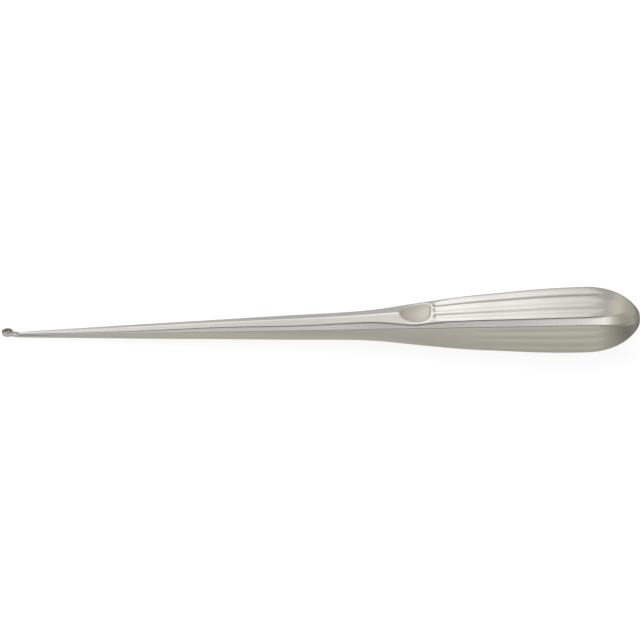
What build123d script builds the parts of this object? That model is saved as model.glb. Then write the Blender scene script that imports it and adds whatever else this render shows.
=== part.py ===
from math import atan, cos, degrees, radians, sin, sqrt, tan
import os

from build123d import *

# Bone curette, forged and ground from one piece of stainless steel, in millimetres.
# It is drawn straight along +X, from the tip of the cup to the end of the handle,
# with the open side of the cup up. The last section lays it down as it comes to rest.

# Lengths along the instrument
neck_station = 6.5
shaft_length = 136.9
handle_length = 67.1
dome_length = 19.5

hollow_tip = neck_station + shaft_length
widest_station = hollow_tip + handle_length
total_length = widest_station + dome_length

# The round neck behind the cup
neck_radius = 0.97
neck_growth = 0.038
neck_reach = 60.0
neck_grinding = 0.03

# The square section with its narrow corner bands, along the shaft and along the handle.
# Each row has its share of that length, half the thickness across the flats and
# the width of the corner bands.
shaft_sections = [
    (0.0, neck_radius + neck_grinding, 0.77),
    (0.107, 1.36, 0.79),
    (0.344, 2.28, 1.03),
    (0.476, 2.79, 1.34),
    (0.608, 3.34, 1.65),
    (0.739, 3.86, 1.97),
    (0.871, 4.36, 2.29),
    (0.950, 4.94, 2.40),
    (1.0, 5.56, 2.44),
]
handle_sections = [
    (0.188, 6.75, 2.59),
    (0.382, 7.75, 2.62),
    (0.542, 8.33, 2.75),
    (0.703, 8.90, 2.87),
    (1.0, 9.35, 2.94),
]

# The long ridge on the top and the bottom of the shaft: its share of the shaft's
# length and how far it stands above the half thickness
ridge_rises = [
    (0.0, 0.02),
    (0.107, 0.16),
    (0.344, 0.45),
    (0.608, 0.75),
    (0.871, 0.95),
    (1.0, 0.95),
]
ridge_slope = 18.5
# Beside the thumb hollow the two facets of the ridge climb out of the section:
# the length past the shaft and the rise there
ridge_exit = [(6.2, 0.94), (11.6, 1.3), (16.6, 1.68), (21.0, 2.4)]

# The top of the handle is two broad planes that slope down from its middle.
# Along the shaft these planes and the flat bottom stay clear of the ridge.
crown_slope = 7.0
ridge_clearance = 0.12

# The domed end of the handle: how long its faces keep their height, as a share of it,
# and how blunt it ends, where 0.55 and 0.55 would be a true ellipse
dome_reach = 0.68
dome_fullness = 0.57
band_dome_reach = 0.66
band_dome_fullness = 0.35
band_overrun = 0.3

# The flat land on the belly of the handle that it rests on: how much is ground off there,
# and how far the land's plane passes below the neck
land_depth = 0.1
land_neck_gap = 0.02

# The cup
cup_length = 4.3
cup_width = 3.2
cup_wall = 0.32
rim_height = 2.1
cup_side_height = 0.8
shoulder_station = 2.6
shoulder_half_width = 1.15
shoulder_half_height = 0.98
shoulder_lift = 0.86

# The thumb hollow, an oval dish in the top, just before the handle
hollow_middle = 5.9
hollow_half_length = 5.75
hollow_rim_height = 7.14
hollow_depth = 2.29
hollow_dish_radius = 12.0

# The flutes, three on each broad side of the handle
flute_radius = 2.0
flute_depth = 0.4
flute_share = 0.56
flute_overrun = 11.0

# The turn of each broad side about the length, its slope, where its flutes start,
# measured from the tip of the hollow, and how deep they are there. A negative depth
# is above the side.
flute_starts = [
    (0.0, crown_slope, 13.4, flute_depth),
    (90.0, 0.0, 22.0, -0.1),
    (180.0, 0.0, 16.0, -0.1),
    (270.0, 0.0, 22.0, -0.1),
]

reach = 2 * (total_length - widest_station)


def station_rows():
    # All sections as station, half thickness and band width
    shaft = [(neck_station + share * shaft_length, *sizes) for share, *sizes in shaft_sections]
    handle = [(hollow_tip + share * handle_length, *sizes) for share, *sizes in handle_sections]
    return shaft + handle


def section_at(station):
    # Half thickness and band width there, straight from one section to the next
    rows = station_rows()
    for (start, first, first_band), (end, last, last_band) in zip(rows, rows[1:]):
        if station <= end:
            share = (station - start) / (end - start)
            return first + share * (last - first), first_band + share * (last_band - first_band)
    return rows[-1][1:]


def flat_edge(half, band):
    # The distance from the middle of a flat to its edge with a corner band
    return half - band / sqrt(2)


def face_plane(turn):
    # The drawing plane whose second direction is square to the face at this turn
    angle = radians(turn)
    return Plane(origin=(0, 0, 0), x_dir=(1, 0, 0), z_dir=(0, -cos(angle), -sin(angle)))


def ground_outline(turn, points, end, bluntness, opposite):
    # A ground face seen edge on, with the domed end of the handle and, if asked,
    # with the opposite face
    start = points[0][0] - neck_radius
    last_station, last_height = points[-1]
    kept_length, fullness = bluntness
    with BuildSketch(face_plane(turn)) as outline:
        with BuildLine():
            Line((start, 0), (start, points[0][1]))
            Line((start, points[0][1]), points[0])
            Spline(*points, tangents=[(30, 1), (1, 0)])
            Bezier(
                points[-1],
                (last_station + kept_length * (end - last_station), last_height),
                (end, fullness * last_height),
                (end, 0),
            )
            if opposite:
                mirror(about=Plane.XZ)
            else:
                Polyline((end, 0), (end, -reach), (start, -reach), (start, 0))
        make_face()
    return outline.sketch


def ridge_outline(turn):
    # Two of the long facets beside the ridges, one on the top and one below
    shrink = cos(radians(ridge_slope))
    points = []
    for share, rise in ridge_rises:
        station = neck_station + share * shaft_length
        points.append((station, (section_at(station)[0] + rise) * shrink))
    for length, rise in ridge_exit:
        station = hollow_tip + length
        points.append((station, (section_at(station)[0] + rise) * shrink))
    start = points[0][0] - neck_radius
    end = total_length + band_overrun
    with BuildSketch(face_plane(turn)) as outline:
        with BuildLine():
            Line((start, 0), (start, points[0][1]))
            Line((start, points[0][1]), points[0])
            Spline(*points)
            Line(points[-1], (end, reach))
            Line((end, reach), (end, 0))
            mirror(about=Plane.XZ)
        make_face()
    return outline.sketch


def broad_outline(turn, slope):
    # The top or bottom of the handle, which passes over the ridge along the shaft
    lean = radians(slope)
    points = []
    for share, rise in ridge_rises:
        station = neck_station + share * shaft_length
        points.append((station, (section_at(station)[0] + rise + ridge_clearance) * cos(lean)))
    for share, half, band in handle_sections:
        edge = flat_edge(half, band)
        points.append((hollow_tip + share * handle_length, half * cos(lean) + edge * sin(lean)))
    return ground_outline(turn, points, total_length, (dome_reach, dome_fullness), False)


def band_outline(turn):
    # Two opposite corner bands
    points = [(station, sqrt(2) * half - band / 2) for station, half, band in station_rows()]
    end = total_length + band_overrun
    return ground_outline(turn, points, end, (band_dome_reach, band_dome_fullness), True)


side_points = [(station, half) for station, half, band in station_rows()]
side_outline = ground_outline(90, side_points, total_length, (dome_reach, dome_fullness), True)

with BuildPart() as blank:
    extrude(broad_outline(crown_slope, crown_slope), amount=reach, both=True)
    for outline in (
        broad_outline(-crown_slope, crown_slope),
        broad_outline(180, 0),
        side_outline,
        band_outline(45),
        band_outline(-45),
        ridge_outline(ridge_slope),
        ridge_outline(-ridge_slope),
    ):
        extrude(outline, amount=reach, both=True, mode=Mode.INTERSECT)

    # The narrow end is turned round, and the ground faces run out of that round
    with BuildSketch(Plane.XZ):
        with BuildLine():
            neck_end = neck_station + neck_reach
            Polyline(
                (neck_station, 0),
                (neck_station, neck_radius),
                (neck_end, neck_radius + neck_growth * neck_reach),
                (neck_end, reach),
                (total_length + band_overrun, reach),
                (total_length + band_overrun, 0),
                close=True,
            )
        make_face()
    revolve(axis=Axis.X, mode=Mode.INTERSECT)

    # The shoulder from the neck up to the back of the cup
    with BuildSketch(Plane(origin=(shoulder_station, 0, shoulder_lift), x_dir=(0, 1, 0), z_dir=(1, 0, 0))):
        Ellipse(shoulder_half_width, shoulder_half_height)
    with BuildSketch(Plane(origin=(neck_station, 0, 0), x_dir=(0, 1, 0), z_dir=(1, 0, 0))):
        Circle(neck_radius)
    loft()

# The outside and the inside of the cup: an oval bowl turned about its long middle line,
# with upright sides above it
cup_middle = cup_length / 2
bowl_height = rim_height - cup_side_height


def oval_bowl(half_length, half_width, side_height):
    with BuildPart() as bowl:
        with BuildSketch(Plane(origin=(cup_middle, 0, bowl_height), z_dir=(0, -1, 0), x_dir=(1, 0, 0))) as section:
            Ellipse(half_length, half_width)
            split(bisect_by=Plane.XZ)
        revolve(axis=Axis((0, 0, bowl_height), (1, 0, 0)))
        split(bisect_by=Plane.XY.offset(bowl_height), keep=Keep.BOTTOM)
        with BuildSketch(Plane(origin=(cup_middle, 0, bowl_height))):
            Ellipse(half_length, half_width)
        extrude(amount=side_height)
    return bowl.part


# The thumb hollow: half an oval turned about a line along the instrument above it
hollow_station = hollow_tip + hollow_middle
dish_height = hollow_rim_height - hollow_depth + hollow_dish_radius

with BuildPart() as hollow_cutter:
    with BuildSketch(Plane.XZ):
        with Locations((hollow_station, hollow_rim_height)):
            Ellipse(hollow_half_length, hollow_depth)
            Rectangle(
                2 * hollow_half_length,
                dish_height - hollow_rim_height,
                align=(Align.CENTER, Align.MIN),
            )
    revolve(axis=Axis((0, 0, dish_height), (1, 0, 0)))


def flute_cutter(turn, slope, start_length, start_depth, side):
    # A long bent rod with a ball end that leaves a flute along one side of the handle
    stations = (hollow_tip + start_length, hollow_tip + handle_sections[-2][0] * handle_length, widest_station)
    along = (stations[0], stations[1], widest_station + flute_overrun)
    face = face_plane(turn)
    points = []
    for station, place, depth in zip(stations, along, (start_depth, flute_depth, flute_depth)):
        half, band = section_at(station)
        edge = flat_edge(half, band)
        level = half + (1 - abs(side) * flute_share) * edge * tan(radians(slope))
        points.append(face.from_local_coords((place, level - depth + flute_radius, side * flute_share * edge)))
    with BuildPart() as cutter:
        with BuildLine():
            path = ThreePointArc(*points)
        with BuildSketch(Plane(origin=path @ 0, z_dir=path % 0)):
            Circle(flute_radius)
        sweep()
        with Locations(path @ 0):
            Sphere(flute_radius)
    return cutter.part


# It lies on the underside of the neck and on a land on the belly of the handle
neck_bottom = -neck_radius - land_neck_gap
rest_slope = max(
    (half - land_depth + neck_bottom) / (station - neck_station)
    for station, half, band in station_rows()
    if station > hollow_tip
)

with BuildPart() as straight_curette:
    add(blank.part)
    add(oval_bowl(cup_length / 2, cup_width / 2, cup_side_height))
    add(
        oval_bowl(cup_length / 2 - cup_wall, cup_width / 2 - cup_wall, cup_side_height + cup_wall),
        mode=Mode.SUBTRACT,
    )
    add(hollow_cutter.part, mode=Mode.SUBTRACT)
    for turn, slope, start_length, start_depth in flute_starts:
        for side in (-1, 0, 1):
            add(flute_cutter(turn, slope, start_length, start_depth, side), mode=Mode.SUBTRACT)
    split(bisect_by=Plane(origin=(neck_station, 0, neck_bottom), z_dir=(rest_slope, 0, 1)), keep=Keep.TOP)

turned = straight_curette.part.rotate(Axis.Y, -degrees(atan(rest_slope)))
box = turned.bounding_box()

with BuildPart() as bone_curette:
    add(turned.translate((-box.center().X, 0, -box.min.Z)))

bone_curette.part.label = "bone_curette"
os.makedirs("parts", exist_ok=True)
export_step(bone_curette.part, "parts/bone_curette.step")
print("rest angle", round(degrees(atan(rest_slope)), 3), "size", box.size)
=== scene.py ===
import math

import bpy
import numpy as np
from mathutils import Matrix, Vector


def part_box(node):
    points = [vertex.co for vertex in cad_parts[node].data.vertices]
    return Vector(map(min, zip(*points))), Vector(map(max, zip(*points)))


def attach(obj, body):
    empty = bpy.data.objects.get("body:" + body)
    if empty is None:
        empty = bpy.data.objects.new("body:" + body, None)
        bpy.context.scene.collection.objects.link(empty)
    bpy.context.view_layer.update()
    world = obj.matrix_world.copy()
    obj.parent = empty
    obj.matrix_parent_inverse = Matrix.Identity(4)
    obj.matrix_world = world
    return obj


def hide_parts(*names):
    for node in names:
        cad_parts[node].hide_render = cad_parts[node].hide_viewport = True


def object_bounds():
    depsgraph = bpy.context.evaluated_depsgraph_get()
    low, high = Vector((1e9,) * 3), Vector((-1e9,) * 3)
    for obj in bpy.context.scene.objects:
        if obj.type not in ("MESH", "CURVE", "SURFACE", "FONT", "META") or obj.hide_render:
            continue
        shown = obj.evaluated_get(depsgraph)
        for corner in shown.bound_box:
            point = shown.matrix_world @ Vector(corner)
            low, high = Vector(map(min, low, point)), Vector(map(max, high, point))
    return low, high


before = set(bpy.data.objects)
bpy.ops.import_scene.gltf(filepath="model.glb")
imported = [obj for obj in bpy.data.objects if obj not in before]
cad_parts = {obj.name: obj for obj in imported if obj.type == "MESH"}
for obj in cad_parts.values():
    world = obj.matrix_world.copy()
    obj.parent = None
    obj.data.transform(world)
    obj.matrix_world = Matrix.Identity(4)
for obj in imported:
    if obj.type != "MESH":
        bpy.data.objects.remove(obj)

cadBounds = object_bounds()
print("frame loaded")

# Everything below is drawn straight, in millimetres, from the tip of the cup along +X,
# and is then laid down in the place of the CAD solid, in metres.
mm = 0.001

barSizes = {
    "neckStation": 6.5,
    "shaftLength": 136.9,
    "handleLength": 67.1,
    "domeLength": 19.5,
    "neckRadius": 0.97,
    "neckGrowth": 0.038,
    "neckReach": 60.0,
    # how steeply every face starts at the neck
    "startSlope": 1 / 30,
    # share of the shaft, half thickness across the flats, width of the corner bands
    "shaftSections": [
        (0.0, 1.00, 0.77),
        (0.107, 1.36, 0.79),
        (0.344, 2.28, 1.03),
        (0.476, 2.79, 1.34),
        (0.608, 3.34, 1.65),
        (0.739, 3.86, 1.97),
        (0.871, 4.36, 2.29),
        (0.950, 4.94, 2.40),
        (1.0, 5.56, 2.44),
    ],
    # share of the handle, half thickness across the flats, width of the corner bands
    "handleSections": [
        (0.188, 6.75, 2.59),
        (0.382, 7.75, 2.62),
        (0.542, 8.33, 2.75),
        (0.703, 8.90, 2.87),
        (1.0, 9.35, 2.94),
    ],
    # share of the shaft, and how far its ridges stand above the half thickness
    "ridgeRises": [
        (0.0, 0.02),
        (0.107, 0.16),
        (0.344, 0.45),
        (0.608, 0.75),
        (0.871, 0.95),
        (1.0, 0.95),
    ],
    "ridgeSlope": 18.5,
    # length past the shaft, and the rise there, where the facets of the ridge run out
    "ridgeExit": [(6.2, 0.94), (11.6, 1.3), (16.6, 1.68), (21.0, 2.4)],
    "ridgeExitSlope": 0.4,
    "ridgeClearance": 0.12,
    "crownSlope": 7.0,
    # how long a face keeps its height over the dome, and how blunt it ends
    "domeShape": (0.68, 0.57),
    "bandDomeShape": (0.66, 0.35),
    "bandOverrun": 0.3,
    "landDepth": 0.1,
    "landNeckGap": 0.02,
    # radius of the edges, smaller where the half thickness is under fullRoundingAt
    "edgeRounding": 0.5,
    "fullRoundingAt": 6.0,
    "leastRoundingShare": 0.25,
    # what is added to it over the dome, from a length past the widest station
    "domeRounding": 1.6,
    "domeRoundingStart": 7.0,
    "domeRoundingRun": 10.0,
    # the corner bands have their own finish from this station on
    "bandFinishStart": 12.0,
}

hollowSizes = {
    "middle": 5.9,
    "halfLength": 5.75,
    "rimHeight": 7.14,
    "depth": 2.29,
    "dishRadius": 12.0,
    "lipRounding": 0.14,
    # how fast its floor rises past the two ends
    "endSteepness": 12.0,
    # the part of the top that it may cut: share of its half length and of the side
    "reachShare": 1.1,
    "leastHeightShare": 0.35,
    "blendHeight": 0.8,
}

fluteSizes = {
    "depth": 0.28,
    "share": 0.56,
    "halfWidthShare": 0.5,
    "runOut": 0.8,
    "rimRounding": 0.03,
    "faceShare": 0.6,
    # the side as its turn from the top, the start past the shaft, and the depth there
    "starts": [(0, 13.4, 0.28), (90, 22.0, -0.1), (180, 16.0, -0.1), (270, 22.0, -0.1)],
}

cupSizes = {
    "length": 4.3,
    "width": 3.2,
    "wall": 0.32,
    "rimHeight": 2.1,
    "sideHeight": 0.8,
    "shoulderStation": 2.6,
    "shoulderHalfWidth": 1.15,
    "shoulderHalfHeight": 0.98,
    "shoulderLift": 0.86,
    "shoulderRings": 12,
    "joinStation": 9.5,
    "joinGap": 0.4,
    "roundPoints": 72,
    "voxel": 0.07,
    "smoothFactor": 0.5,
    "smoothRounds": 4,
    # the polish of the cup ends at this station and fades over this length
    "polishEnd": 6.2,
    "polishFade": 1.8,
}

meshSizes = {
    "shaftRings": 112,
    "hollowRings": 52,
    "wallRings": 20,
    "fluteStartRings": 20,
    "handleRings": 46,
    "domeRings": 58,
    "domeSamples": 600,
    # lengths from the middle and from the rim of the hollow, where the spacing changes
    "hollowReach": 6.4,
    "wallBefore": 0.7,
    "wallAfter": 0.3,
    "fluteStartReach": 3.0,
    # points across a face, and how much closer they stand at its edges
    "flatPoints": 44,
    "flatCrowding": 1.2,
    "bandPoints": 7,
    "bandCrowding": 1.3,
    "weld": 0.0005,
}

hollowTip = barSizes["neckStation"] + barSizes["shaftLength"]
widestStation = hollowTip + barSizes["handleLength"]
totalLength = widestStation + barSizes["domeLength"]


def curveThrough(stations, heights, startSlope=None, endSlope=None):
    # The smoothest curve through the given points, as a function of the station
    x = np.array(stations, dtype=float)
    y = np.array(heights, dtype=float)
    gaps = np.diff(x)
    rises = np.diff(y) / gaps
    count = len(x)
    system = np.zeros((count, count))
    wanted = np.zeros(count)
    for k in range(1, count - 1):
        system[k, k - 1 : k + 2] = (gaps[k], 2 * (gaps[k - 1] + gaps[k]), gaps[k - 1])
        wanted[k] = 3 * (gaps[k] * rises[k - 1] + gaps[k - 1] * rises[k])
    system[0, :2] = (2, 1) if startSlope is None else (1, 0)
    wanted[0] = 3 * rises[0] if startSlope is None else startSlope
    system[-1, -2:] = (1, 2) if endSlope is None else (0, 1)
    wanted[-1] = 3 * rises[-1] if endSlope is None else endSlope
    slopes = np.linalg.solve(system, wanted)

    def at(station):
        s = np.clip(station, x[0], x[-1])
        k = np.clip(np.searchsorted(x, s) - 1, 0, count - 2)
        t = (s - x[k]) / gaps[k]
        keep = 2 * t**3 - 3 * t**2 + 1
        rise = t**3 - 2 * t**2 + t
        fall = t**3 - t**2
        bend = gaps[k] * (rise * slopes[k] + fall * slopes[k + 1])
        return keep * y[k] + (1 - keep) * y[k + 1] + bend

    return at


def domeCurve(height, end, shape):
    # The half thickness over the domed end, from the widest station to the end
    kept, fullness = shape
    t = np.linspace(0, 1, meshSizes["domeSamples"])
    reach = widestStation + kept * (end - widestStation)
    first = (1 - t) ** 3
    second = 3 * t * (1 - t) ** 2
    third = 3 * t**2 * (1 - t)
    stations = first * widestStation + second * reach + (third + t**3) * end
    heights = (first + second + third * fullness) * height
    return lambda station: np.interp(station, stations, heights)


def groundFace(stations, heights, end, shape):
    # One ground face: a smooth body, and the dome after the widest station
    body = curveThrough(stations, heights, barSizes["startSlope"], 0)
    dome = domeCurve(heights[-1], end, shape)
    return lambda s: np.where(s > widestStation, dome(s), body(s))


def makeOutlines():
    # The half thickness of every ground face, as functions of the station
    shaft = [
        (barSizes["neckStation"] + share * barSizes["shaftLength"], half, band)
        for share, half, band in barSizes["shaftSections"]
    ]
    handle = [
        (hollowTip + share * barSizes["handleLength"], half, band)
        for share, half, band in barSizes["handleSections"]
    ]
    stations, halves, bands = (np.array(column) for column in zip(*(shaft + handle)))

    def straightHalf(s):
        return np.interp(s, stations, halves)

    def straightBand(s):
        return np.interp(s, stations, bands)

    rises = barSizes["ridgeRises"]
    exits = barSizes["ridgeExit"]
    ridgeStations = [barSizes["neckStation"] + share * barSizes["shaftLength"] for share, rise in rises]
    ridgeHeights = [straightHalf(s) + row[1] for s, row in zip(ridgeStations, rises)]
    exitStations = [hollowTip + length for length, rise in exits]
    exitHeights = [straightHalf(s) + row[1] for s, row in zip(exitStations, exits)]
    ridgeBody = curveThrough(ridgeStations + exitStations, ridgeHeights + exitHeights)

    def ridge(s):
        return ridgeBody(s) + barSizes["ridgeExitSlope"] * np.maximum(0, s - exitStations[-1])

    def broad(slope):
        # A broad face clears the ridge along the shaft and is flat or crowned on the handle
        lean = math.radians(slope)
        along = ridgeStations + [row[0] for row in handle]
        clear = [(height + barSizes["ridgeClearance"]) * math.cos(lean) for height in ridgeHeights]
        flats = [
            half * math.cos(lean) + (half - band / math.sqrt(2)) * math.sin(lean)
            for s, half, band in handle
        ]
        return groundFace(along, clear + flats, totalLength, barSizes["domeShape"])

    corners = math.sqrt(2) * halves - bands / 2
    cornerEnd = totalLength + barSizes["bandOverrun"]
    return {
        "half": straightHalf,
        "band": straightBand,
        "side": groundFace(stations, halves, totalLength, barSizes["domeShape"]),
        "corner": groundFace(stations, corners, cornerEnd, barSizes["bandDomeShape"]),
        "ridge": ridge,
        "crown": broad(barSizes["crownSlope"]),
        "bottom": broad(0),
    }


outlines = makeOutlines()


def restSlope():
    # The slope of the line under the neck and the land on the belly of the handle
    low = barSizes["neckRadius"] + barSizes["landNeckGap"]
    return max(
        (half - barSizes["landDepth"] - low)
        / (hollowTip + share * barSizes["handleLength"] - barSizes["neckStation"])
        for share, half, band in barSizes["handleSections"]
    )


def ringStations():
    # The rings stand closest round the far wall of the hollow and at the start of the flutes
    middle = hollowTip + hollowSizes["middle"]
    rim = middle + hollowSizes["halfLength"]
    hollowStart = middle - meshSizes["hollowReach"]
    wallStart = rim - meshSizes["wallBefore"]
    wallEnd = rim + meshSizes["wallAfter"]
    handleStart = rim + meshSizes["fluteStartReach"]
    marks = [
        (cupSizes["joinStation"], hollowStart, meshSizes["shaftRings"]),
        (hollowStart, wallStart, meshSizes["hollowRings"]),
        (wallStart, wallEnd, meshSizes["wallRings"]),
        (wallEnd, handleStart, meshSizes["fluteStartRings"]),
        (handleStart, widestStation, meshSizes["handleRings"]),
    ]
    rows = [np.linspace(start, end, count, endpoint=False) for start, end, count in marks]
    turn = np.linspace(0, math.pi / 2, meshSizes["domeRings"])
    rows.append(widestStation + barSizes["domeLength"] * np.sin(turn))
    return np.concatenate(rows)


def smoothMinimum(first, second, rounding):
    return 0.5 * (first + second - np.sqrt((first - second) ** 2 + rounding**2))


def fluteCut(s, place, startLength, startDepth, side, drop):
    # How deep one flute is cut into a broad side of the handle, as a soft wave across
    start = hollowTip + startLength
    edge = outlines["half"](s) - outlines["band"](s) / math.sqrt(2)
    pitch = fluteSizes["share"] * edge
    gap = place - side * pitch
    before = np.minimum(0, s - start)
    share = np.sqrt(gap**2 + before**2) / (fluteSizes["halfWidthShare"] * pitch)
    wave = np.where(share < 1, np.cos(math.pi / 2 * np.minimum(share, 1)) ** 2, 0)
    middleStation = hollowTip + barSizes["handleSections"][-2][0] * barSizes["handleLength"]
    run = np.clip((s - start) / (middleStation - start), 0, 1)
    depth = fluteSizes["depth"] + (startDepth - fluteSizes["depth"]) * (1 - run) ** 2
    cut = depth * wave - fluteSizes["runOut"] * drop
    soft = fluteSizes["rimRounding"]
    return np.where(wave > 0, 0.5 * (cut + np.sqrt(cut**2 + soft**2)) - 0.5 * soft * (1 - wave), 0)


def barMesh():
    # Rings by points round, with rows of points along every edge of the section
    stations = ringStations()
    side = outlines["side"](stations)
    corner = outlines["corner"](stations)
    ridge = outlines["ridge"](stations)
    crown = outlines["crown"](stations)
    bottom = outlines["bottom"](stations)
    ridgeLean = math.radians(barSizes["ridgeSlope"])
    crownLean = math.radians(barSizes["crownSlope"])

    def edgeAngle(levels):
        # Where the lowest of these sloping faces meets the corner band
        places = [(math.sqrt(2) * corner - level) / (1 - math.tan(lean)) for level, lean in levels]
        edge = np.clip(np.max(places, axis=0), 0.05 * side, 0.999 * side)
        return np.arctan2(edge, np.maximum(math.sqrt(2) * corner - edge, 0.01))

    topAngle = edgeAngle([(ridge, ridgeLean), (crown / math.cos(crownLean), crownLean)])
    bottomAngle = edgeAngle([(ridge, ridgeLean), (bottom, 0)])
    sideAngle = edgeAngle([(side, 0)])

    # Shares across a face, closer together at its two edges
    spread = np.linspace(-1, 1, meshSizes["flatPoints"] + 1)
    flatShares = np.sign(spread) * (1 - (1 - np.abs(spread)) ** meshSizes["flatCrowding"])
    spread = np.linspace(-1, 1, meshSizes["bandPoints"] + 1)
    bandShares = np.sign(spread) * (1 - (1 - np.abs(spread)) ** meshSizes["bandCrowding"])

    angles = []
    kinds = []
    halves = [topAngle, sideAngle, bottomAngle, sideAngle]
    for quarter in range(4):
        half = halves[quarter]
        after = halves[(quarter + 1) % 4]
        middle = quarter * math.pi / 2
        for share in flatShares[:-1]:
            angles.append(middle + np.arctan(share * np.tan(half)))
            kinds.append(0.0)
        low = middle + half
        high = middle + math.pi / 2 - after
        for share in bandShares[:-1]:
            angles.append((low + high) / 2 + share * (high - low) / 2)
            kinds.append(1.0)
    angles.append(angles[0] + 2 * math.pi)
    kinds.append(kinds[0])
    angles = np.array(angles).T
    kinds = np.array(kinds)

    # The section is the smooth minimum of its faces; the edges soften over the dome
    pastWidest = stations - widestStation - barSizes["domeRoundingStart"]
    soft = np.clip(pastWidest / barSizes["domeRoundingRun"], 0, 1) ** 1.5
    full = np.clip(side / barSizes["fullRoundingAt"], barSizes["leastRoundingShare"], 1)
    rounding = barSizes["edgeRounding"] * full + barSizes["domeRounding"] * soft
    # A rounded edge lies edgeCut times its radius inside the sharp edge
    edgeCut = 0.082
    softest, sharpest = 22, 400
    power = np.clip(math.log(2) * side / (edgeCut * rounding), softest, sharpest)[:, None]
    pastNeck = stations - barSizes["neckStation"]
    neck = barSizes["neckRadius"] + barSizes["neckGrowth"] * pastNeck
    neck = neck + np.maximum(0, pastNeck - barSizes["neckReach"])
    faces = [(90, side), (270, side), (180, bottom)]
    faces += [(turn, corner) for turn in (45, 135, 225, 315)]
    faces += [(turn * barSizes["crownSlope"], crown) for turn in (1, -1)]
    for turn in (0, 180):
        faces.append((turn + barSizes["ridgeSlope"], ridge * math.cos(ridgeLean)))
        faces.append((turn - barSizes["ridgeSlope"], ridge * math.cos(ridgeLean)))
    terms = [
        np.maximum(np.cos(angles - math.radians(turn)), 0.001) / np.maximum(height, 1e-4)[:, None]
        for turn, height in faces
    ]
    terms.append(1 / neck[:, None] + 0 * angles)
    largest = np.max(terms, axis=0)
    radius = 1 / (largest * sum((term / largest) ** power for term in terms) ** (1 / power))

    across = radius * np.sin(angles)
    up = radius * np.cos(angles)
    along = np.repeat(stations[:, None], angles.shape[1], axis=1)

    # Three flutes on each broad side of the handle, which run out where it is domed
    drop = np.where(stations > widestStation, side.max() - side, 0)[:, None]
    for turn, startLength, startDepth in fluteSizes["starts"]:
        height, place = {0: (up, across), 90: (across, up), 180: (-up, across), 270: (-across, up)}[turn]
        onFace = height > fluteSizes["faceShare"] * side[:, None]
        for which in (-1, 0, 1):
            cut = fluteCut(stations[:, None], place, startLength, startDepth, which, drop)
            height = height - np.where(onFace, np.maximum(cut, 0), 0)
        if turn in (0, 180):
            up = height if turn == 0 else -height
        else:
            across = height if turn == 90 else -height

    # The thumb hollow: an oval dish in the top
    share = (stations - hollowTip - hollowSizes["middle"]) / hollowSizes["halfLength"]
    floor = hollowSizes["rimHeight"] - hollowSizes["depth"] * np.sqrt(np.maximum(1 - share**2, 0))
    steep = hollowSizes["endSteepness"] * hollowSizes["halfLength"]
    floor = (floor + steep * np.maximum(0, np.abs(share) - 1))[:, None]
    dish = hollowSizes["rimHeight"] - hollowSizes["depth"] + hollowSizes["dishRadius"]
    scoop = dish - np.sqrt(np.maximum(np.maximum(dish - floor, 0) ** 2 - across**2, 0))
    inReach = (np.abs(share) < hollowSizes["reachShare"])[:, None]
    inHollow = inReach & (up > hollowSizes["leastHeightShare"] * side[:, None])
    near = inHollow & (scoop < up + hollowSizes["blendHeight"])
    hollowMask = np.where(inHollow & (scoop < up), 1.0, 0.0)
    up = np.where(near, smoothMinimum(scoop, up, hollowSizes["lipRounding"]), up)

    # The land it rests on
    low = -barSizes["neckRadius"] - barSizes["landNeckGap"] - restSlope() * pastNeck
    up = np.maximum(up, low[:, None])

    finished = (stations > barSizes["bandFinishStart"])[:, None]
    bandMask = np.where((kinds[None, :] > 0.5) & finished, 1.0, 0.0)
    return along, across, up, bandMask, hollowMask


def makeBar():
    # A flat grid is wrapped round into the bar
    along, across, up, bandMask, hollowMask = barMesh()
    rings, points = along.shape
    bpy.ops.mesh.primitive_grid_add(x_subdivisions=points - 1, y_subdivisions=rings - 1, size=2)
    bar = bpy.context.object
    bar.name = "curetteSteel"
    grid = np.empty(len(bar.data.vertices) * 3)
    bar.data.vertices.foreach_get("co", grid)
    grid = grid.reshape(-1, 3)
    column = np.rint((grid[:, 0] + 1) / 2 * (points - 1)).astype(int)
    row = np.rint((grid[:, 1] + 1) / 2 * (rings - 1)).astype(int)
    placed = np.stack([along[row, column], -across[row, column], up[row, column]], axis=1)
    bar.data.vertices.foreach_set("co", placed.ravel())
    for name, values in (("bandMask", bandMask), ("hollowMask", hollowMask)):
        layer = bar.data.attributes.new(name, "FLOAT", "POINT")
        layer.data.foreach_set("value", values[row, column].astype(np.float32))
    bar.data.update()
    bpy.ops.object.mode_set(mode="EDIT")
    bpy.ops.mesh.select_all(action="SELECT")
    bpy.ops.mesh.remove_doubles(threshold=meshSizes["weld"])
    bpy.ops.mesh.normals_make_consistent(inside=False)
    bpy.ops.object.mode_set(mode="OBJECT")
    return bar


bpy.ops.object.select_all(action="DESELECT")
bar = makeBar()
print("bar made", len(bar.data.vertices))


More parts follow.
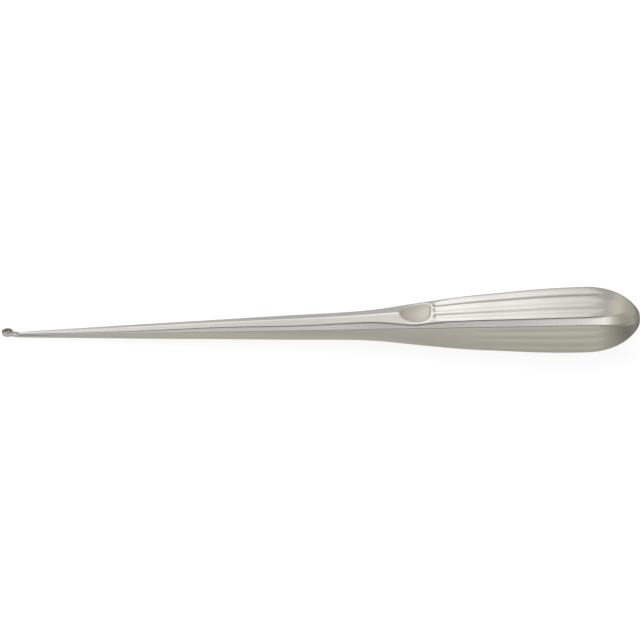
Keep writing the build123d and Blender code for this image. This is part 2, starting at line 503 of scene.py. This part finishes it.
def addBowl(name, halfLength, halfWidth, sideHeight):
    # The lower half of an oval ball, with upright sides raised from its edge
    middle = Vector((cupSizes["length"] / 2, 0, cupSizes["rimHeight"] - cupSizes["sideHeight"]))
    points = cupSizes["roundPoints"]
    bpy.ops.mesh.primitive_uv_sphere_add(
        segments=points, ring_count=points // 2, radius=1, location=middle
    )
    bowl = bpy.context.object
    bowl.name = name
    bowl.scale = (halfLength, halfWidth, halfWidth)
    bpy.ops.object.transform_apply(location=True, rotation=True, scale=True)
    bpy.ops.object.mode_set(mode="EDIT")
    bpy.ops.mesh.select_all(action="SELECT")
    bpy.ops.mesh.bisect(plane_co=middle, plane_no=(0, 0, 1), clear_outer=True, use_fill=True)
    bpy.ops.mesh.select_mode(type="FACE")
    bpy.ops.mesh.select_all(action="DESELECT")
    bpy.ops.object.mode_set(mode="OBJECT")
    for face in bowl.data.polygons:
        face.select = face.normal.z > 0.99
    bpy.ops.object.mode_set(mode="EDIT")
    bpy.ops.mesh.extrude_region_move(TRANSFORM_OT_translate={"value": (0, 0, sideHeight)})
    bpy.ops.object.mode_set(mode="OBJECT")
    return bowl


def addShoulder():
    # An oval inside the cup is drawn out in rings to the round neck
    neckStation = barSizes["neckStation"]
    neckRadius = barSizes["neckRadius"]
    start = cupSizes["shoulderStation"]
    startWidth = cupSizes["shoulderHalfWidth"]
    startHeight = cupSizes["shoulderHalfHeight"]
    startLift = cupSizes["shoulderLift"]
    rings = [(start, startWidth, startHeight, startLift)]
    for step in range(1, cupSizes["shoulderRings"] + 1):
        t = step / cupSizes["shoulderRings"]
        ease = t * t * (3 - 2 * t)
        station = start + t * (neckStation - start)
        width = startWidth + ease * (neckRadius - startWidth)
        height = startHeight + ease * (neckRadius - startHeight)
        rings.append((station, width, height, startLift * (1 - ease)))
    # The neck goes on past the join, where it is cut off later
    for share in (0.5, 1.0, 2.0):
        length = share * (cupSizes["joinStation"] - neckStation)
        radius = neckRadius + barSizes["neckGrowth"] * length
        rings.append((neckStation + length, radius, radius, 0))
    bpy.ops.mesh.primitive_circle_add(
        vertices=cupSizes["roundPoints"], radius=1, fill_type="NGON", rotation=(0, math.pi / 2, 0)
    )
    shoulder = bpy.context.object
    bpy.ops.object.transform_apply(location=True, rotation=True, scale=True)
    bpy.ops.object.mode_set(mode="EDIT")
    bpy.ops.mesh.select_all(action="SELECT")
    station, width, height, lift = rings[0]
    bpy.ops.transform.resize(value=(1, width, height))
    bpy.ops.transform.translate(value=(station, 0, lift))
    for ring, after in zip(rings, rings[1:]):
        move = (after[0] - ring[0], 0, after[3] - ring[3])
        bpy.ops.mesh.extrude_region_move(TRANSFORM_OT_translate={"value": move})
        bpy.ops.transform.resize(
            value=(1, after[1] / ring[1], after[2] / ring[2]),
            center_override=(after[0], 0, after[3]),
        )
    bpy.ops.mesh.select_all(action="SELECT")
    bpy.ops.mesh.normals_make_consistent(inside=False)
    bpy.ops.object.mode_set(mode="OBJECT")
    return shoulder


def combine(target, tool, operation):
    change = target.modifiers.new("combine", "BOOLEAN")
    change.object = tool
    change.operation = operation
    change.solver = "EXACT"
    bpy.context.view_layer.objects.active = target
    bpy.ops.object.modifier_apply(modifier=change.name)
    bpy.data.objects.remove(tool)


def makeCupEnd():
    # The cup, its shoulder and the first of the neck, cut open at the join
    halfLength = cupSizes["length"] / 2
    halfWidth = cupSizes["width"] / 2
    wall = cupSizes["wall"]
    cup = addBowl("cupEnd", halfLength, halfWidth, cupSizes["sideHeight"])
    combine(cup, addShoulder(), "UNION")
    inside = addBowl("cupInside", halfLength - wall, halfWidth - wall, cupSizes["sideHeight"] + 1)
    combine(cup, inside, "DIFFERENCE")
    remesh = cup.modifiers.new("remesh", "REMESH")
    remesh.mode = "VOXEL"
    remesh.voxel_size = cupSizes["voxel"]
    smooth = cup.modifiers.new("smooth", "SMOOTH")
    smooth.factor = cupSizes["smoothFactor"]
    smooth.iterations = cupSizes["smoothRounds"]
    bpy.context.view_layer.objects.active = cup
    for name in ("remesh", "smooth"):
        bpy.ops.object.modifier_apply(modifier=name)
    bpy.ops.object.mode_set(mode="EDIT")
    bpy.ops.mesh.select_all(action="SELECT")
    cutStation = cupSizes["joinStation"] - cupSizes["joinGap"]
    bpy.ops.mesh.bisect(plane_co=(cutStation, 0, 0), plane_no=(1, 0, 0), clear_outer=True)
    bpy.ops.object.mode_set(mode="OBJECT")
    mask = cup.data.attributes.new("cupMask", "FLOAT", "POINT")
    stations = np.empty(len(cup.data.vertices) * 3)
    cup.data.vertices.foreach_get("co", stations)
    stations = stations.reshape(-1, 3)[:, 0]
    polish = np.clip((cupSizes["polishEnd"] - stations) / cupSizes["polishFade"], 0, 1)
    mask.data.foreach_set("value", polish.astype(np.float32))
    return cup


bpy.ops.object.select_all(action="DESELECT")
cup = makeCupEnd()
print("cup end made", len(cup.data.vertices))


def joinEnds(bar, cup):
    # The open end of the neck and the open end of the bar are bridged into one skin
    bpy.ops.object.select_all(action="DESELECT")
    cup.select_set(True)
    bar.select_set(True)
    bpy.context.view_layer.objects.active = bar
    bpy.ops.object.join()
    bpy.ops.object.mode_set(mode="EDIT")
    bpy.ops.mesh.select_mode(type="EDGE")
    bpy.ops.mesh.select_all(action="DESELECT")
    bpy.ops.mesh.select_non_manifold(
        extend=False,
        use_wire=False,
        use_multi_face=False,
        use_non_contiguous=False,
        use_verts=False,
    )
    bpy.ops.mesh.bridge_edge_loops()
    bpy.ops.mesh.select_all(action="SELECT")
    bpy.ops.mesh.normals_make_consistent(inside=False)
    bpy.ops.object.mode_set(mode="OBJECT")


joinEnds(bar, cup)


def layDown(piece):
    # The straight curette is turned to the angle it rests at and set where the solid is
    turn = Matrix.Rotation(-math.atan(restSlope()), 4, "Y")
    piece.data.transform(Matrix.Scale(mm, 4) @ turn)
    points = np.empty(len(piece.data.vertices) * 3)
    piece.data.vertices.foreach_get("co", points)
    points = points.reshape(-1, 3)
    low = points.min(axis=0)
    high = points.max(axis=0)
    cadLow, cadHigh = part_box("bone_curette")
    shift = Vector(((cadLow[0] + cadHigh[0] - low[0] - high[0]) / 2, 0, cadLow[2] - low[2]))
    piece.data.transform(Matrix.Translation(shift))


layDown(bar)
bar.data.shade_smooth()
print("laid down", len(bar.data.polygons), sum(len(face.vertices) - 2 for face in bar.data.polygons))


steelSizes = {
    "color": (0.535, 0.52, 0.465, 1),
    "darkColor": (0.50, 0.482, 0.42, 1),
    "hollowColor": (0.51, 0.485, 0.415, 1),
    "roughness": 0.24,
    "bandRoughness": 0.2,
    "hollowRoughness": 0.6,
    "cupRoughness": 0.13,
    "cupGrain": 0.5,
    "cupGrainDepth": 0.00008,
    "cupScale": 2300.0,
    # how much the brushing changes the roughness, and how deep it is
    "brushing": 0.05,
    "brushStrength": 0.12,
    "brushDepth": 0.00006,
    "brushScale": (30.0, 2400.0, 2400.0),
    "bandScale": (2600.0, 70.0, 70.0),
    "cloudScale": 55.0,
}


def feed(links, value, socket):
    # Another socket is linked, and a plain value is set
    if isinstance(value, bpy.types.NodeSocket):
        links.new(value, socket)
    else:
        socket.default_value = value


def makeSteel():
    steel = bpy.data.materials.new("satinSteel")
    steel.use_nodes = True
    nodes = steel.node_tree.nodes
    links = steel.node_tree.links
    shader = nodes["Principled BSDF"]
    shader.inputs["Metallic"].default_value = 1.0
    place = nodes.new("ShaderNodeTexCoord")

    def mask(name):
        layer = nodes.new("ShaderNodeAttribute")
        layer.attribute_name = name
        return layer.outputs["Fac"]

    def scratches(scale, detail):
        stretch = nodes.new("ShaderNodeMapping")
        stretch.inputs["Scale"].default_value = scale
        noise = nodes.new("ShaderNodeTexNoise")
        noise.inputs["Scale"].default_value = 1.0
        noise.inputs["Detail"].default_value = detail
        links.new(place.outputs["Object"], stretch.inputs["Vector"])
        links.new(stretch.outputs["Vector"], noise.inputs["Vector"])
        return noise.outputs["Fac"]

    def blend(amount, first, second, kind="RGBA"):
        # A mix of two sockets or plain values
        mix = nodes.new("ShaderNodeMix")
        mix.data_type = kind
        ending = {"RGBA": "_Color", "FLOAT": "_Float"}[kind]
        for name, value in (("A" + ending, first), ("B" + ending, second), ("Factor_Float", amount)):
            feed(links, value, next(s for s in mix.inputs if s.identifier == name))
        return next(s for s in mix.outputs if s.identifier == "Result" + ending)

    bandMask = mask("bandMask")
    hollowMask = mask("hollowMask")
    cupMask = mask("cupMask")
    along = scratches(steelSizes["brushScale"], 4.0)
    acrossBands = scratches(steelSizes["bandScale"], 3.0)
    clouds = scratches((steelSizes["cloudScale"],) * 3, 3.0)
    texture = blend(bandMask, along, acrossBands, "FLOAT")
    grain = scratches((steelSizes["cupScale"],) * 3, 1.0)

    # Faint clouds of tone, and a duller floor in the thumb hollow
    cloudy = blend(clouds, steelSizes["darkColor"], steelSizes["color"])
    links.new(blend(hollowMask, cloudy, steelSizes["hollowColor"]), shader.inputs["Base Color"])

    base = blend(bandMask, steelSizes["roughness"], steelSizes["bandRoughness"], "FLOAT")
    base = blend(hollowMask, base, steelSizes["hollowRoughness"], "FLOAT")
    base = blend(cupMask, base, steelSizes["cupRoughness"], "FLOAT")
    vary = nodes.new("ShaderNodeMapRange")
    vary.inputs["From Min"].default_value = 0.25
    vary.inputs["From Max"].default_value = 0.75
    vary.inputs["To Min"].default_value = -steelSizes["brushing"]
    vary.inputs["To Max"].default_value = steelSizes["brushing"]
    links.new(texture, vary.inputs["Value"])
    rough = nodes.new("ShaderNodeMath")
    rough.operation = "ADD"
    links.new(base, rough.inputs[0])
    links.new(vary.outputs["Result"], rough.inputs[1])
    links.new(rough.outputs[0], shader.inputs["Roughness"])

    bump = nodes.new("ShaderNodeBump")
    bump.inputs["Strength"].default_value = steelSizes["brushStrength"]
    bump.inputs["Distance"].default_value = steelSizes["brushDepth"]
    links.new(texture, bump.inputs["Height"])
    dimple = nodes.new("ShaderNodeBump")
    dimple.inputs["Strength"].default_value = steelSizes["cupGrain"]
    dimple.inputs["Distance"].default_value = steelSizes["cupGrainDepth"]
    links.new(blend(cupMask, 0.5, grain, "FLOAT"), dimple.inputs["Height"])
    links.new(bump.outputs["Normal"], dimple.inputs["Normal"])
    links.new(dimple.outputs["Normal"], shader.inputs["Normal"])
    return steel


steel = makeSteel()
bar.data.materials.clear()
bar.data.materials.append(steel)
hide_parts("bone_curette")
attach(bar, "root")

stageSizes = {
    "floorSize": 6.0,
    "floorWhite": 0.8,
    "floorRoughness": 0.9,
    # painted reflection: how bright the floor glows to the steel alone, by the distance in front of its
    # middle, lower close under the curette as painted shade
    "paintedReflectionInFront": [
        (-0.02, 0.56),
        (-0.003, 0.6),
        (0.003, 0.78),
        (0.0075, 0.82),
        (0.0105, 0.68),
        (0.02, 0.83),
        (0.05, 1.04),
        (0.09, 0.8),
        (0.18, 0.12),
    ],
    # and how much of that painted reflection is left towards the right end of the curette and past it,
    # lower there as a painted shadow of the domed end
    "paintedShadowToRight": [(0.101, 1.0), (0.117, 0.44), (0.126, 0.47), (0.16, 0.8)],
    "paintedReflectionColor": (1.0, 0.99, 0.95),
    "paintedReflectionBrightest": 1.1,
    "shadowStrength": 0.25,
    "tableGlow": 1.15,
}


def toneRamp(nodes, links, value, stops, brightest, smoothing):
    # A ramp holds levels up to 1, so they are stored as a share of the brightest
    ramp = nodes.new("ShaderNodeValToRGB")
    ramp.color_ramp.interpolation = smoothing
    while len(ramp.color_ramp.elements) < len(stops):
        ramp.color_ramp.elements.new(0.5)
    for element, (position, level) in zip(ramp.color_ramp.elements, stops):
        element.position = position
    for element, (position, level) in zip(ramp.color_ramp.elements, stops):
        element.color = (level / brightest,) * 3 + (1,)
    links.new(value, ramp.inputs["Fac"])
    return ramp.outputs["Color"]


def vectorStep(nodes, links, operation, first, second):
    step = nodes.new("ShaderNodeVectorMath")
    step.operation = operation
    feed(links, first, step.inputs[0])
    feed(links, second, step.inputs[1])
    return step.outputs[0]


def makeStage():
    bpy.ops.object.select_all(action="DESELECT")
    bpy.ops.mesh.primitive_plane_add(size=stageSizes["floorSize"], location=(0, 0, 0))
    floor = bpy.context.object
    floor.name = "floor"
    table = bpy.data.materials.new("whiteTable")
    table.use_nodes = True
    nodes = table.node_tree.nodes
    links = table.node_tree.links
    shader = nodes["Principled BSDF"]
    shader.inputs["Base Color"].default_value = (stageSizes["floorWhite"],) * 3 + (1,)
    shader.inputs["Roughness"].default_value = stageSizes["floorRoughness"]
    shader.inputs["Specular IOR Level"].default_value = 0.0
    glow = nodes.new("ShaderNodeEmission")
    glow.inputs["Color"].default_value = (1, 1, 1, 1)
    glow.inputs["Strength"].default_value = stageSizes["tableGlow"]
    path = nodes.new("ShaderNodeLightPath")

    # The camera sees a white table with a faint shadow
    visible = nodes.new("ShaderNodeMixShader")
    visible.inputs["Fac"].default_value = stageSizes["shadowStrength"]
    links.new(glow.outputs["Emission"], visible.inputs[1])
    links.new(shader.outputs["BSDF"], visible.inputs[2])

    # Painted reflection: the table glows to glossy rays alone, in painted tones in front of the curette
    # and with a painted shadow to the right of it
    place = nodes.new("ShaderNodeTexCoord")
    axes = nodes.new("ShaderNodeSeparateXYZ")
    links.new(place.outputs["Object"], axes.inputs[0])
    brightest = stageSizes["paintedReflectionBrightest"]
    tones = []
    for axis, toward, stops in (
        ("Y", -1, stageSizes["paintedReflectionInFront"]),
        ("X", 1, stageSizes["paintedShadowToRight"]),
    ):
        start, end = stops[0][0], stops[-1][0]
        distance = nodes.new("ShaderNodeMapRange")
        distance.inputs["From Min"].default_value = toward * start
        distance.inputs["From Max"].default_value = toward * end
        links.new(axes.outputs[axis], distance.inputs["Value"])
        shares = [((length - start) / (end - start), level) for length, level in stops]
        tone = toneRamp(nodes, links, distance.outputs["Result"], shares, brightest, "LINEAR")
        tones.append(tone)
    tone = vectorStep(nodes, links, "MULTIPLY", tones[0], tones[1])
    tone = vectorStep(nodes, links, "MULTIPLY", tone, stageSizes["paintedReflectionColor"])
    # painted reflection: a glow that is no lamp, seen only in the steel
    paintedReflection = nodes.new("ShaderNodeEmission")
    paintedReflection.inputs["Strength"].default_value = brightest**2
    links.new(tone, paintedReflection.inputs["Color"])

    toSteel = nodes.new("ShaderNodeMixShader")
    links.new(path.outputs["Is Glossy Ray"], toSteel.inputs["Fac"])
    links.new(shader.outputs["BSDF"], toSteel.inputs[1])
    links.new(paintedReflection.outputs["Emission"], toSteel.inputs[2])
    toCamera = nodes.new("ShaderNodeMixShader")
    links.new(path.outputs["Is Camera Ray"], toCamera.inputs["Fac"])
    links.new(toSteel.outputs["Shader"], toCamera.inputs[1])
    links.new(visible.outputs["Shader"], toCamera.inputs[2])
    links.new(toCamera.outputs["Shader"], nodes["Material Output"].inputs["Surface"])
    floor.data.materials.append(table)


# The studio round the curette. Each strip of light has its brightness by the angle from
# behind the curette over the top to the front, in degrees, and by how far to the right
# it lies, from -1 to 1.
lightSizes = {
    "backColor": (0.985, 0.99, 1.04),
    "backByAngle": [
        (-90, 0.5),
        (-20, 0.6),
        (6, 0.85),
        (20, 1.2),
        (34, 1.95),
        (50, 2.15),
        (64, 2.0),
        (80, 1.7),
        (90, 1.15),
        (98, 0.3),
        (104, 0.05),
        (130, 0.04),
    ],
    "backByRight": [(-0.19, 1.0), (-0.1, 0.82), (0.0, 0.56), (0.1, 0.42), (0.3, 0.22), (0.8, 0.0)],
    "frontColor": (0.97, 0.97, 1.07),
    "frontByAngle": [
        (116, 0.02),
        (126, 0.4),
        (136, 1.15),
        (150, 1.15),
        (160, 0.5),
        (168, 0.12),
        (180, 0.1),
    ],
    "frontByRight": [
        (-0.25, 0.88),
        (-0.16, 0.86),
        (-0.08, 1.15),
        (0.1, 1.5),
        (0.42, 1.25),
        (0.7, 0.25),
        (0.85, 0.0),
    ],
    "sideColor": (1.0, 0.98, 0.9),
    "sideByAngle": [(-90, 0.6), (60, 0.7), (110, 0.68), (150, 0.58), (170, 0.45), (180, 0.4)],
    "sideByRight": [(0.14, 0.0), (0.5, 1.0)],
    "brightest": 2.4,
}


def makeLight():
    # A tent of soft light with dark strips, told by the direction it comes from
    world = bpy.data.worlds.new("studio")
    bpy.context.scene.world = world
    world.use_nodes = True
    nodes = world.node_tree.nodes
    links = world.node_tree.links
    background = nodes["Background"]
    direction = nodes.new("ShaderNodeTexCoord")
    axes = nodes.new("ShaderNodeSeparateXYZ")
    links.new(direction.outputs["Generated"], axes.inputs[0])
    angle = nodes.new("ShaderNodeMath")
    angle.operation = "ARCTAN2"
    links.new(axes.outputs["Z"], angle.inputs[0])
    links.new(axes.outputs["Y"], angle.inputs[1])
    turn = nodes.new("ShaderNodeMapRange")
    turn.inputs["From Min"].default_value = -math.pi
    turn.inputs["From Max"].default_value = math.pi
    links.new(angle.outputs[0], turn.inputs["Value"])
    right = nodes.new("ShaderNodeMapRange")
    right.inputs["From Min"].default_value = -1.0
    right.inputs["From Max"].default_value = 1.0
    links.new(axes.outputs["X"], right.inputs["Value"])

    brightest = lightSizes["brightest"]
    strips = []
    for strip in ("back", "front", "side"):
        byAngle = [((degrees + 180) / 360, level) for degrees, level in lightSizes[strip + "ByAngle"]]
        byRight = [((place + 1) / 2, level) for place, level in lightSizes[strip + "ByRight"]]
        aroundTone = toneRamp(nodes, links, turn.outputs["Result"], byAngle, brightest, "B_SPLINE")
        rightTone = toneRamp(nodes, links, right.outputs["Result"], byRight, brightest, "EASE")
        tone = vectorStep(nodes, links, "MULTIPLY", aroundTone, rightTone)
        strips.append(vectorStep(nodes, links, "MULTIPLY", tone, lightSizes[strip + "Color"]))
    whole = strips[0]
    for strip in strips[1:]:
        whole = vectorStep(nodes, links, "ADD", whole, strip)
    links.new(whole, background.inputs["Color"])
    background.inputs["Strength"].default_value = brightest**2


cameraSizes = {
    "lens": 200.0,
    "sensorWidth": 36.0,
    "clipEnd": 20.0,
    "elevation": 48.0,
    "roll": 0.1,
    "aimHeight": 0.0092,
    # the picture across, and the curette in it
    "pixelsWide": 640,
    "pixelsLong": 639.6,
}


def makeCamera():
    data = bpy.data.cameras.new("camera")
    data.lens = cameraSizes["lens"]
    data.sensor_width = cameraSizes["sensorWidth"]
    data.clip_end = cameraSizes["clipEnd"]
    camera = bpy.data.objects.new("camera", data)
    elevation = math.radians(cameraSizes["elevation"])
    length = cadBounds[1][0] - cadBounds[0][0]
    view = length * cameraSizes["pixelsWide"] / cameraSizes["pixelsLong"]
    distance = data.lens / data.sensor_width * view
    aim = Vector((0, 0, cameraSizes["aimHeight"]))
    camera.location = aim + distance * Vector((0, -math.cos(elevation), math.sin(elevation)))
    roll = Matrix.Rotation(math.radians(cameraSizes["roll"]), 4, "Z")
    tilt = Matrix.Rotation(math.pi / 2 - elevation, 4, "X") @ roll
    camera.rotation_euler = tilt.to_euler()
    bpy.context.scene.collection.objects.link(camera)
    bpy.context.scene.camera = camera


makeStage()
makeLight()
makeCamera()
bpy.context.scene.view_settings.view_transform = "Standard"
print("stage, light and camera set")
